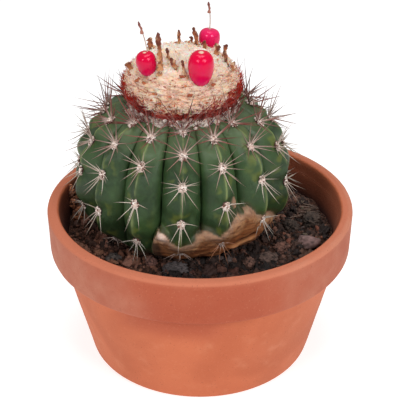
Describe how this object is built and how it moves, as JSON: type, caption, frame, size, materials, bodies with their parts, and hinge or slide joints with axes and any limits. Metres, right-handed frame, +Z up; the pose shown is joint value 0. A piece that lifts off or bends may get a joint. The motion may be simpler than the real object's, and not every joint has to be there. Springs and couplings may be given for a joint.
{
  "type": "potted round cactus",
  "caption": "Ribbed globe cactus with spines, a woolly cap with red berries and dried flowers, in a low terracotta pot of gritty soil.",
  "frame": {"origin": "centre of the underside of the pot, on the surface it stands on", "axes": "+Z up through the pot's axis, -Y towards the front of the plant, +X to the right seen from the front"},
  "size_m": [0.14, 0.14, 0.1622],
  "materials": {
    "terracotta": "matte fired clay, slightly mottled",
    "soil": "rough, crumbly and dry",
    "gravel": "rough and pitted",
    "stem": "satin waxy skin",
    "wool": "matte felted wool with bristles",
    "berry": "glossy smooth skin"
  },
  "bodies": {
    "root": {"pot": "terracotta", "soil": "soil", "cactus_stem": "stem", "cephalium": "wool", "fruit_front": "berry", "fruit_left": "berry", "fruit_back": "berry", "gravel_1": "gravel", "gravel_2": "gravel", "gravel_3": "gravel", "gravel_4": "gravel", "gravel_5": "gravel", "gravel_6": "gravel", "gravel_7": "gravel", "gravel_8": "gravel", "gravel_9": "gravel", "gravel_10": "gravel", "gravel_11": "gravel"}
  },
  "joints": []
}
